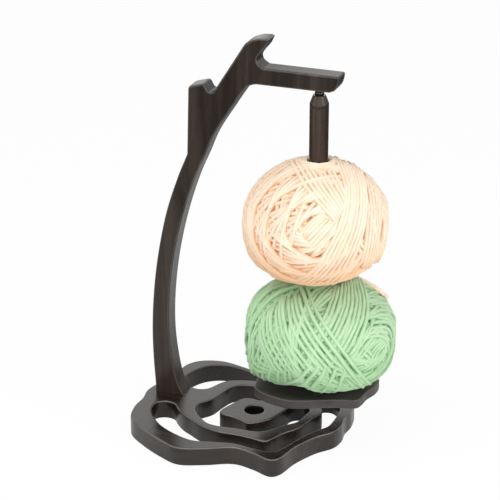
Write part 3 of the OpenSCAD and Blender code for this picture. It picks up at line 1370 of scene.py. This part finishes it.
    def paint_lay_shade(self, piece: bpy.types.Object, core_points: int) -> None:
        """Store a painted shade for each point, from 0 between the strands to 1 on the outermost crowns,
        and darker towards the ball's bottom.

        Args:
            piece: The wound ball.
            core_points: How many of its last points are the core's.
        """
        mesh = piece.data
        points = np.empty(3 * len(mesh.vertices))
        mesh.vertices.foreach_get("co", points)
        points = points.reshape(-1, 3) / MM - self.middle
        normals = np.empty(3 * len(mesh.vertices))
        mesh.vertex_normals.foreach_get("vector", normals)
        crown = np.clip((normals.reshape(-1, 3) * unit(points / self.half ** 2)).sum(axis=1), 0.0, 1.0)
        outside = np.linalg.norm(self.outside(unit(points / self.half), 0.0), axis=1)
        depth = outside - np.linalg.norm(points, axis=1)
        under = np.clip(-points[:, 2] / self.half[2], 0.0, 1.0)
        # Painted shade: deep, side-facing and low points take the deeper colour
        lay = self.lay.shares(depth / self.core_size.depth, crown, under)
        lay[depth < -self.lay.loose_height] = self.lay.loose
        lay[-core_points:] *= self.lay.core
        mesh.attributes.new(YARN_PAINTED_SHADE, "FLOAT", "POINT").data.foreach_set("value", lay)


def eye_windings(eye: Point) -> list[Rosette]:
    """List the turns that a ball begins with, which close its eye and the far one.

    Args:
        eye: Point of the face that the turns go round.

    Returns:
        The turns, in the order of winding.
    """
    return [
        Rosette(eye, miss=3.0, count=7),
        Rosette(eye, miss=13.0, count=14),
        Rosette(eye, miss=5.0, count=10, reach=40.0),
        Rosette(eye, miss=15.0, count=24, reach=60.0),
    ]


UPPER_EYE = (0.02, -0.13)
UPPER_WINDINGS: list[Rosette | Sheaf] = [
    *eye_windings(UPPER_EYE),
    Sheaf(((-0.24, -0.2), (-0.1, 0.0), (0.1, 0.16)),
          ((0.0, -0.44), (0.16, -0.22), (0.3, -0.02)), count=8, run_on=(20.0, 8.0)),
    Rosette(UPPER_EYE, miss=28.0, count=30, reach=95.0),
    Rosette(UPPER_EYE, miss=45.0, count=30),
    Rosette(UPPER_EYE, miss=62.0, count=26, start=90.0),
    Sheaf(((0.44, -0.23), (0.53, -0.4), (0.66, -0.6)),
          ((0.6, -0.15), (0.68, -0.3), (0.76, -0.45)), count=4),
    Sheaf(((-0.13, 0.98), (-0.43, 0.86), (-0.71, 0.62), (-0.89, 0.32)),
          ((-0.11, 0.86), (-0.39, 0.76), (-0.64, 0.54), (-0.8, 0.26)), count=3, run_on=(30.0, 20.0)),
    Sheaf(((-0.34, 0.93), (-0.27, 0.75), (-0.17, 0.55), (-0.05, 0.36), (0.1, 0.18), (0.27, -0.05),
           (0.3, -0.15)),
          ((0.14, 1.0), (0.22, 0.78), (0.3, 0.55), (0.37, 0.32), (0.42, 0.15), (0.45, 0.05)), count=8,
          run_on=(15.0, 0.0)),
    Sheaf(((-0.3, 0.85), (-0.1, 0.84), (0.1, 0.87), (0.24, 0.93)),
          ((-0.26, 0.92), (-0.1, 0.9), (0.1, 0.92), (0.22, 0.98)), count=2, run_on=(25.0, 25.0)),
    Sheaf(((0.6, 0.76), (0.67, 0.37), (0.67, 0.0), (0.62, -0.42), (0.55, -0.72)),
          ((0.92, 0.38), (0.97, 0.15), (0.96, -0.15), (0.91, -0.4), (0.8, -0.6)), count=10,
          run_on=(16.0, 16.0)),
    Sheaf(((0.24, 0.93), (0.34, 0.74), (0.37, 0.49), (0.31, 0.0), (0.1, -0.5), (-0.1, -0.79),
           (-0.39, -0.95)),
          ((0.57, 0.78), (0.63, 0.4), (0.6, 0.0), (0.52, -0.37), (0.42, -0.67), (0.2, -0.97)), count=8,
          run_on=(30.0, 40.0)),
]
LOWER_EYE = (0.67, -0.2)
LOWER_WINDINGS: list[Rosette | Sheaf] = [
    *eye_windings(LOWER_EYE),
    Sheaf(((0.48, -0.3), (0.6, -0.1), (0.72, 0.05)),
          ((0.66, -0.44), (0.76, -0.26), (0.86, -0.1)), count=6, run_on=(20.0, 20.0)),
    Rosette(LOWER_EYE, miss=30.0, count=30, reach=95.0),
    Rosette(LOWER_EYE, miss=46.0, count=30),
    Rosette(LOWER_EYE, miss=64.0, count=26, start=60.0),
    Sheaf(((0.55, 0.7), (0.77, 0.64), (0.9, 0.5), (0.98, 0.28)),
          ((0.45, -0.08), (0.66, 0.03), (0.82, -0.03), (0.88, -0.25)), count=8, run_on=(0.0, 20.0)),
    Sheaf(((0.43, -0.08), (0.6, -0.22), (0.71, -0.45)),
          ((0.4, -0.3), (0.52, -0.42), (0.62, -0.62)), count=3),
    Sheaf(((0.21, 0.86), (0.1, 0.53), (0.0, 0.28), (-0.11, 0.06), (-0.22, -0.14)),
          ((0.49, 0.9), (0.59, 0.56), (0.57, 0.28), (0.47, -0.03), (0.36, -0.28), (0.25, -0.47)), count=10,
          run_on=(10.0, 0.0)),
    Sheaf(((-0.95, -0.1), (-0.92, -0.4), (-0.8, -0.62), (-0.55, -0.72)),
          ((-0.84, -0.3), (-0.82, -0.45), (-0.7, -0.56), (-0.5, -0.58)), count=3, run_on=(20.0, 0.0)),
    Sheaf(((-0.76, 0.33), (-0.84, 0.08), (-0.84, -0.19), (-0.69, -0.53), (-0.55, -0.7)),
          ((-0.26, 0.75), (-0.2, 0.44), (-0.03, 0.08), (0.17, -0.25), (0.32, -0.5)), count=13,
          run_on=(15.0, 8.0)),
    Sheaf(((-0.89, 0.22), (-0.78, 0.44), (-0.59, 0.64), (-0.37, 0.78), (-0.18, 0.83), (0.0, 0.89)),
          ((-0.96, 0.3), (-0.84, 0.58), (-0.64, 0.78), (-0.4, 0.9), (-0.2, 0.97)), count=4,
          run_on=(30.0, 30.0)),
    Sheaf(((-0.11, -0.31), (-0.18, -0.53), (-0.31, -0.72), (-0.45, -0.9)),
          ((0.3, -0.4), (0.23, -0.69), (0.15, -0.92)), count=5, run_on=(0.0, 30.0)),
    Sheaf(((0.21, -0.61), (0.43, -0.88)), ((0.33, -0.58), (0.55, -0.82)), count=3, run_on=(0.0, 20.0)),
    Sheaf(((-0.21, 0.86), (-0.11, 0.5), (0.08, 0.11), (0.3, -0.28), (0.58, -0.81)),
          ((-0.27, 0.82), (-0.18, 0.45), (0.0, 0.06), (0.22, -0.32), (0.5, -0.86)), count=2,
          run_on=(30.0, 30.0)),
]
TAIL_POINTS = ((0.22, 0.94), (0.4, 0.9), (0.6, 0.79), (0.78, 0.62), (0.91, 0.46))


# Studio


WHITE = (1.0, 1.0, 1.0, 1.0)
BLACK = (0.0, 0.0, 0.0)


@dataclass(frozen=True)
class Lamp:
    """A soft square lamp, with its power in watts."""

    name: str
    at: Place
    size: float
    power: float

    def hang(self, aim: Vector) -> None:
        """Hang the lamp.

        Args:
            aim: Point that the lamp faces, in metres.
        """
        data = bpy.data.lights.new(self.name, "AREA")
        data.size = self.size * MM
        data.energy = self.power
        lamp = put_in_scene(self.name, data)
        lamp.location = Vector(self.at) * MM
        lamp.rotation_euler = (aim - lamp.location).to_track_quat("-Z", "Y").to_euler()


LAMPS = (
    Lamp("front", (380, -1150, 480), size=1100, power=4.8),
    Lamp("overhead", (-250, -350, 1050), size=600, power=4.4),
    Lamp("side", (1150, -350, 620), size=900, power=8.2),
    Lamp("left", (-950, -900, 330), size=700, power=2.4),
    Lamp("back", (-465, 1275, 730), size=1000, power=1.5),
)


@dataclass
class Studio:
    """Pale floor, soft lamps, white surroundings and the camera."""

    camera_at: Place = (417.2, -1147.8, 657.3)
    camera_pitch: float = 23.22
    camera_azimuth: float = 20.11
    lens: float = 144.0
    sensor: float = 36.0
    lamps_aim: Place = (0.0, 0.0, 120.0)
    floor_size: float = 9000.0
    floor_grey: Colour = (0.9, 0.9, 0.9)
    white_share: float = 0.95
    mirror_share: float = 0.45
    pool: Point = (200.0, 550.0)
    far_shade: float = 0.9
    surround: float = 0.46

    def build(self) -> None:
        """Build the studio."""
        self.camera()
        self.floor()
        self.world()
        for lamp in LAMPS:
            lamp.hang(Vector(self.lamps_aim) * MM)
        bpy.context.scene.view_settings.view_transform = "Standard"

    def camera(self) -> None:
        """Set up the camera at the photograph's viewing angle."""
        data = bpy.data.cameras.new("camera")
        data.lens = self.lens
        data.sensor_width = self.sensor
        camera = put_in_scene("camera", data)
        camera.location = Vector(self.camera_at) * MM
        pitch, azimuth = math.radians(90.0 - self.camera_pitch), math.radians(self.camera_azimuth)
        camera.rotation_euler = (pitch, 0.0, azimuth)
        bpy.context.scene.camera = camera

    def floor(self) -> None:
        """Lay the floor, which the camera sees as nearly white and reflections see darker far away."""
        shape = bmesh.new()
        bmesh.ops.create_grid(shape, x_segments=1, y_segments=1, size=self.floor_size * MM / 2)
        floor = put_in_scene("floor", finished_mesh("floor", shape))
        made, graph, shader = start_material("floor_white")
        place = graph.add("TexCoord").outputs["Object"]
        away = graph.add("VectorMath", {0: place}, operation="LENGTH").outputs["Value"]
        fade = graph.spread(away, low=self.pool[0] * MM, high=self.pool[1] * MM)
        darker = graph.maths("MULTIPLY", self.seen(graph, 0.0, self.far_shade), fade)
        graph.feed(shader, {
            "Base Color": graph.blend(darker, self.floor_grey, BLACK),
            "Roughness": 0.9,
            "Specular IOR Level": 0.0,
        })
        glow = graph.add("Emission", {"Color": WHITE, "Strength": graph.maths("SUBTRACT", 1.0, darker)})
        share = self.seen(graph, self.white_share, self.mirror_share)
        mixed = graph.add("MixShader", {0: share, 1: shader.outputs[0], 2: glow.outputs[0]})
        graph.feed(graph.tree.nodes["Material Output"], {"Surface": mixed.outputs[0]})
        dress(floor, made)
        floor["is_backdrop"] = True

    def seen(self, graph: Graph, straight: float, mirrored: float) -> Socket:
        """Tell the rays that see a surface from those that only light by it.

        Args:
            graph: Graph of the surface.
            straight: Value for rays from the camera.
            mirrored: Value for reflected and refracted rays.

        Returns:
            The value, 0 for all other rays.
        """
        path = graph.add("LightPath").outputs
        bent = graph.maths("MAXIMUM", path["Is Glossy Ray"], path["Is Transmission Ray"])
        first = graph.maths("MULTIPLY", path["Is Camera Ray"], straight)
        return graph.maths("MAXIMUM", first, graph.maths("MULTIPLY", bent, mirrored))

    def world(self) -> None:
        """Surround the scene with white that lights it only softly."""
        world = bpy.data.worlds.new("surround")
        world.use_nodes = True
        graph = Graph(world.node_tree)
        strength = graph.spread(self.seen(graph, 1.0, 1.0), start=self.surround)
        graph.feed(world.node_tree.nodes["Background"], {"Color": WHITE, "Strength": strength})
        bpy.context.scene.world = world


def write_sizes() -> None:
    """Write the model's box and the dressed object's box."""
    boxes = {"cad": CAD_BOX, "visual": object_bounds()}
    plain = {name: [list(corner) for corner in box] for name, box in boxes.items()}
    LOG.info("sizes %s", plain)


def main() -> None:
    """Build the studio and the object."""
    logging.basicConfig(level=logging.INFO, format="%(name)s: %(message)s")
    Studio().build()
    Stand().build()
    Spindle().build()
    lower = YarnBall("mint_ball", "lower_yarn_ball", "lower_yarn", "mint_yarn", MINT, LOWER_WINDINGS,
                     over_full=Fullness(2.1, left=0.2), under_full=Fullness(2.6, right=0.7, left=5.0),
                     left_lift=4.0, seed=5)
    lower.build()
    # The upper ball darkens more towards its bottom, as painted shade
    upper = YarnBall("peach_ball", "upper_yarn_ball", "upper_yarn", "peach_yarn", PEACH, UPPER_WINDINGS,
                     swell=0.9, rise=0.75, aside=-1.5, tail=lower.laid_over(TAIL_POINTS),
                     lay=PaintedShade(under=1.0))
    upper.build()
    write_sizes()


if __name__ == "__main__":
    main()
